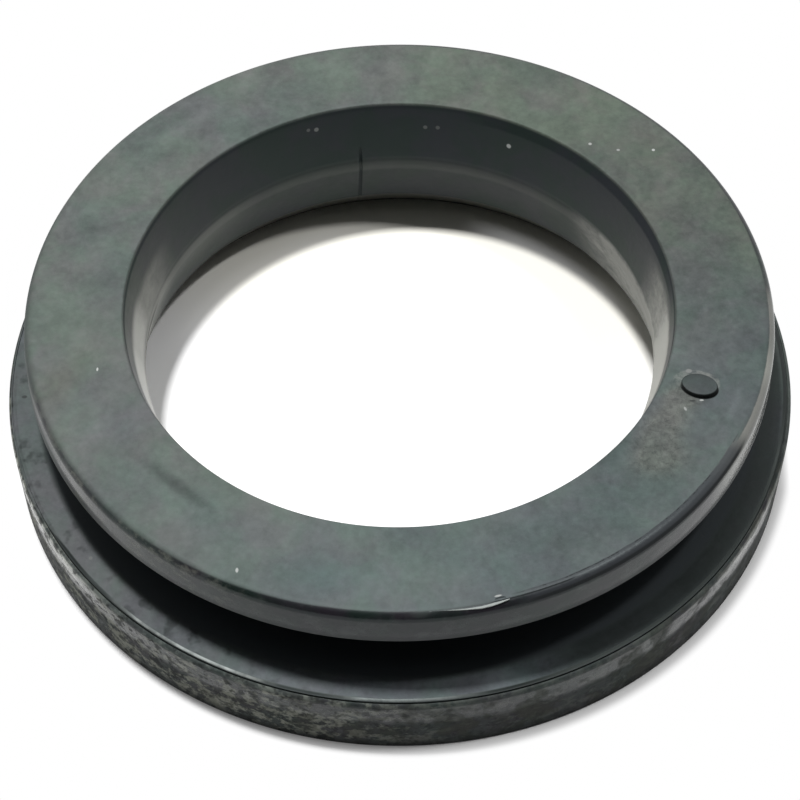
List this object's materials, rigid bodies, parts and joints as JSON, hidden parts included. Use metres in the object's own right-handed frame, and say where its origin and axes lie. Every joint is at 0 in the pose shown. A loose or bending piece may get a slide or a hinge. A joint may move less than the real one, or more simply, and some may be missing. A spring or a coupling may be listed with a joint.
{
  "type": "fuel filler rubber ring",
  "caption": "Moulded black rubber ring with a tapered foot flange, a narrower top flange, a deep panel groove between them and a bore that narrows to a waist.",
  "frame": {"origin": "centre of the underside, on the ring's axis", "axes": "+Z along the ring's axis, from the wide foot flange up to the narrower top flange; the gate mark on the top face lies 22 degrees from +X towards -Y"},
  "size_m": [0.0932, 0.0932, 0.0216],
  "materials": {
    "black_rubber": "satin moulded rubber, dusty and scuffed"
  },
  "bodies": {
    "root": {"filler_ring": "black_rubber"}
  },
  "joints": []
}
